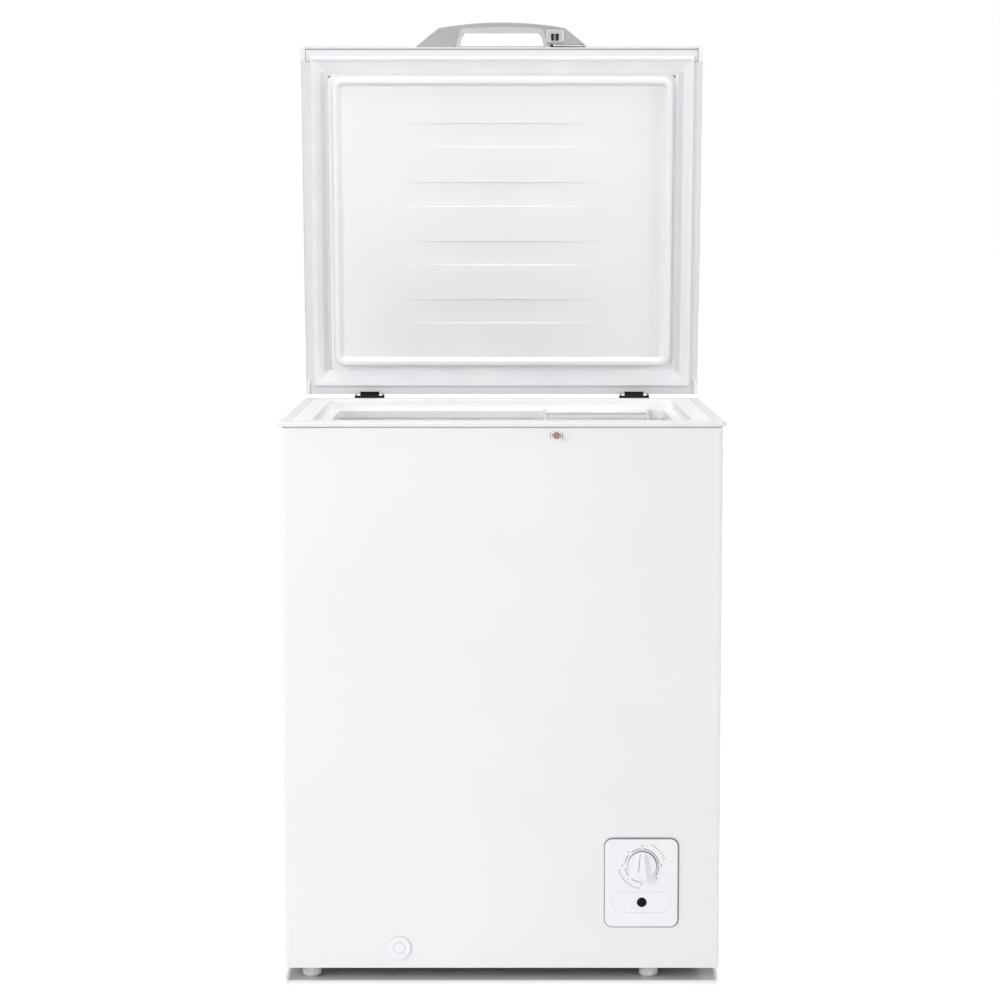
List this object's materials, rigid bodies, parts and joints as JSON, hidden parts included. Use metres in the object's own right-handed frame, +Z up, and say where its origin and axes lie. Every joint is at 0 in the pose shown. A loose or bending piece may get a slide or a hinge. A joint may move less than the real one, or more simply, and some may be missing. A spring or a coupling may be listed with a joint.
{
  "type": "chest freezer",
  "caption": "Small white chest freezer: foamed cabinet with stepped tank, spring-balanced lift-up lid with key lock, hanging wire basket, thermostat knob, drain and turning feet.",
  "frame": {"origin": "centre of the bounding box footprint on the floor, with the lid standing open", "axes": "+Z up, front towards -Y, +X to the right of someone facing the front"},
  "size_m": [0.632, 0.6102, 1.3941],
  "materials": {
    "white_paint": "satin baked enamel",
    "black_steel": "black powder coat",
    "galvanised": "zinc-coated sheet",
    "foam": "rigid insulating foam",
    "tank_aluminium": "stucco embossed sheet",
    "white_plastic": "smooth moulded",
    "grey_plastic": "fine matt grain",
    "light_grey_plastic": "smooth",
    "black_plastic": "matt",
    "lens": "tinted clear",
    "gasket": "soft flexible extrusion",
    "black_rubber": "matt",
    "copper": "drawn copper tube",
    "keeper_brass": "plated",
    "bright_steel": "plated",
    "spring_steel": "oiled wire",
    "coated_wire": "plastic-coated wire"
  },
  "bodies": {
    "cabinet": {"outer_wrapper": "white_paint", "back_panel": "galvanised", "base_pan": "galvanised", "compartment_lining": "galvanised", "rear_grille": "black_plastic", "cabinet_foam": "foam", "inner_tank": "tank_aluminium", "top_collar": "white_plastic", "rim_band": "white_plastic", "control_panel": "white_plastic", "thermostat": "grey_plastic", "indicator_lens": "lens", "indicator_lamp": "grey_plastic", "drain_tube": "grey_plastic", "lock_keeper": "keeper_brass", "hinge_bracket_left": "black_steel", "hinge_bracket_right": "black_steel", "hinge_pin_left": "bright_steel", "hinge_pin_right": "bright_steel", "hinge_spring_left": "spring_steel", "hinge_spring_right": "spring_steel", "compressor": "black_steel", "compressor_mounts": "black_rubber", "starting_relay": "black_plastic", "suction_line": "copper", "discharge_line": "copper", "filter_dryer": "copper", "evaporator_coil": "copper", "condenser_coil": "copper", "rear_feet": "black_plastic", "cord_inlet": "black_rubber", "cabinet_screws": "bright_steel"},
    "lid": {"lid_skin": "white_paint", "lid_foam": "foam", "lid_liner": "white_plastic", "lid_gasket": "gasket", "lid_corner_caps": "white_plastic", "lid_handle": "grey_plastic", "lock_case": "light_grey_plastic", "hinge_leaf_left": "black_steel", "hinge_leaf_right": "black_steel", "lid_screws": "bright_steel"},
    "lock": {"lock_cylinder": "bright_steel", "lock_hook": "bright_steel"},
    "basket": {"basket_frame": "coated_wire", "basket_front": "coated_wire", "basket_back": "coated_wire", "basket_left": "coated_wire", "basket_right": "coated_wire", "basket_floor": "coated_wire"},
    "knob": {"control_knob": "white_plastic"},
    "drain_cap": {"drain_cap": "white_plastic"},
    "drain_plug": {"drain_plug": "white_plastic"},
    "foot_left": {"front_foot_left": "grey_plastic"},
    "foot_right": {"front_foot_right": "grey_plastic"},
    "plunger_left": {"hinge_plunger_left": "grey_plastic"},
    "plunger_right": {"hinge_plunger_right": "grey_plastic"}
  },
  "joints": [
    {"name": "lid_hinge", "type": "hinge", "parent": "cabinet", "child": "lid", "pos_m": [0, 0.25943, 0.803], "axis": [1, 0, 0], "range_deg": [0, 83]},
    {"name": "basket_slide", "type": "slide", "parent": "cabinet", "child": "basket", "axis": [1, 0, 0], "range_m": [-0.316, 0.018]},
    {"name": "knob_turn", "type": "hinge", "parent": "cabinet", "child": "knob", "pos_m": [0.1997, -0.29407, 0.1675], "axis": [0, 1, 0], "range_deg": [-180, 130]},
    {"name": "lock_turn", "type": "hinge", "parent": "lid", "child": "lock", "pos_m": [0.083, 0.21742, 1.35852], "axis": [0, 0.1219, -0.9925], "range_deg": [0, 90]},
    {"name": "drain_cap_pull", "type": "slide", "parent": "cabinet", "child": "drain_cap", "axis": [0, -1, 0], "range_m": [0, 0.03]},
    {"name": "drain_plug_lift", "type": "slide", "parent": "cabinet", "child": "drain_plug", "axis": [0, 0, 1], "range_m": [0, 0.04]},
    {"name": "foot_left_turn", "type": "hinge", "parent": "cabinet", "child": "foot_left", "pos_m": [-0.274, -0.26457, 0], "axis": [0, 0, 1], "range_deg": [-90, 90]},
    {"name": "foot_right_turn", "type": "hinge", "parent": "cabinet", "child": "foot_right", "pos_m": [0.211, -0.26457, 0], "axis": [0, 0, 1], "range_deg": [-90, 90]},
    {"name": "plunger_left_slide", "type": "slide", "parent": "cabinet", "child": "plunger_left", "axis": [0, 0, -1], "range_m": [0, 0.00325], "deforming": ["hinge_spring_left"]},
    {"name": "plunger_right_slide", "type": "slide", "parent": "cabinet", "child": "plunger_right", "axis": [0, 0, -1], "range_m": [0, 0.00325], "deforming": ["hinge_spring_right"]}
  ],
  "couplings": [
    {"joint": "plunger_left_slide", "follows": "lid_hinge", "m_per_rad": 0.002209},
    {"joint": "plunger_right_slide", "follows": "lid_hinge", "m_per_rad": 0.002209}
  ]
}
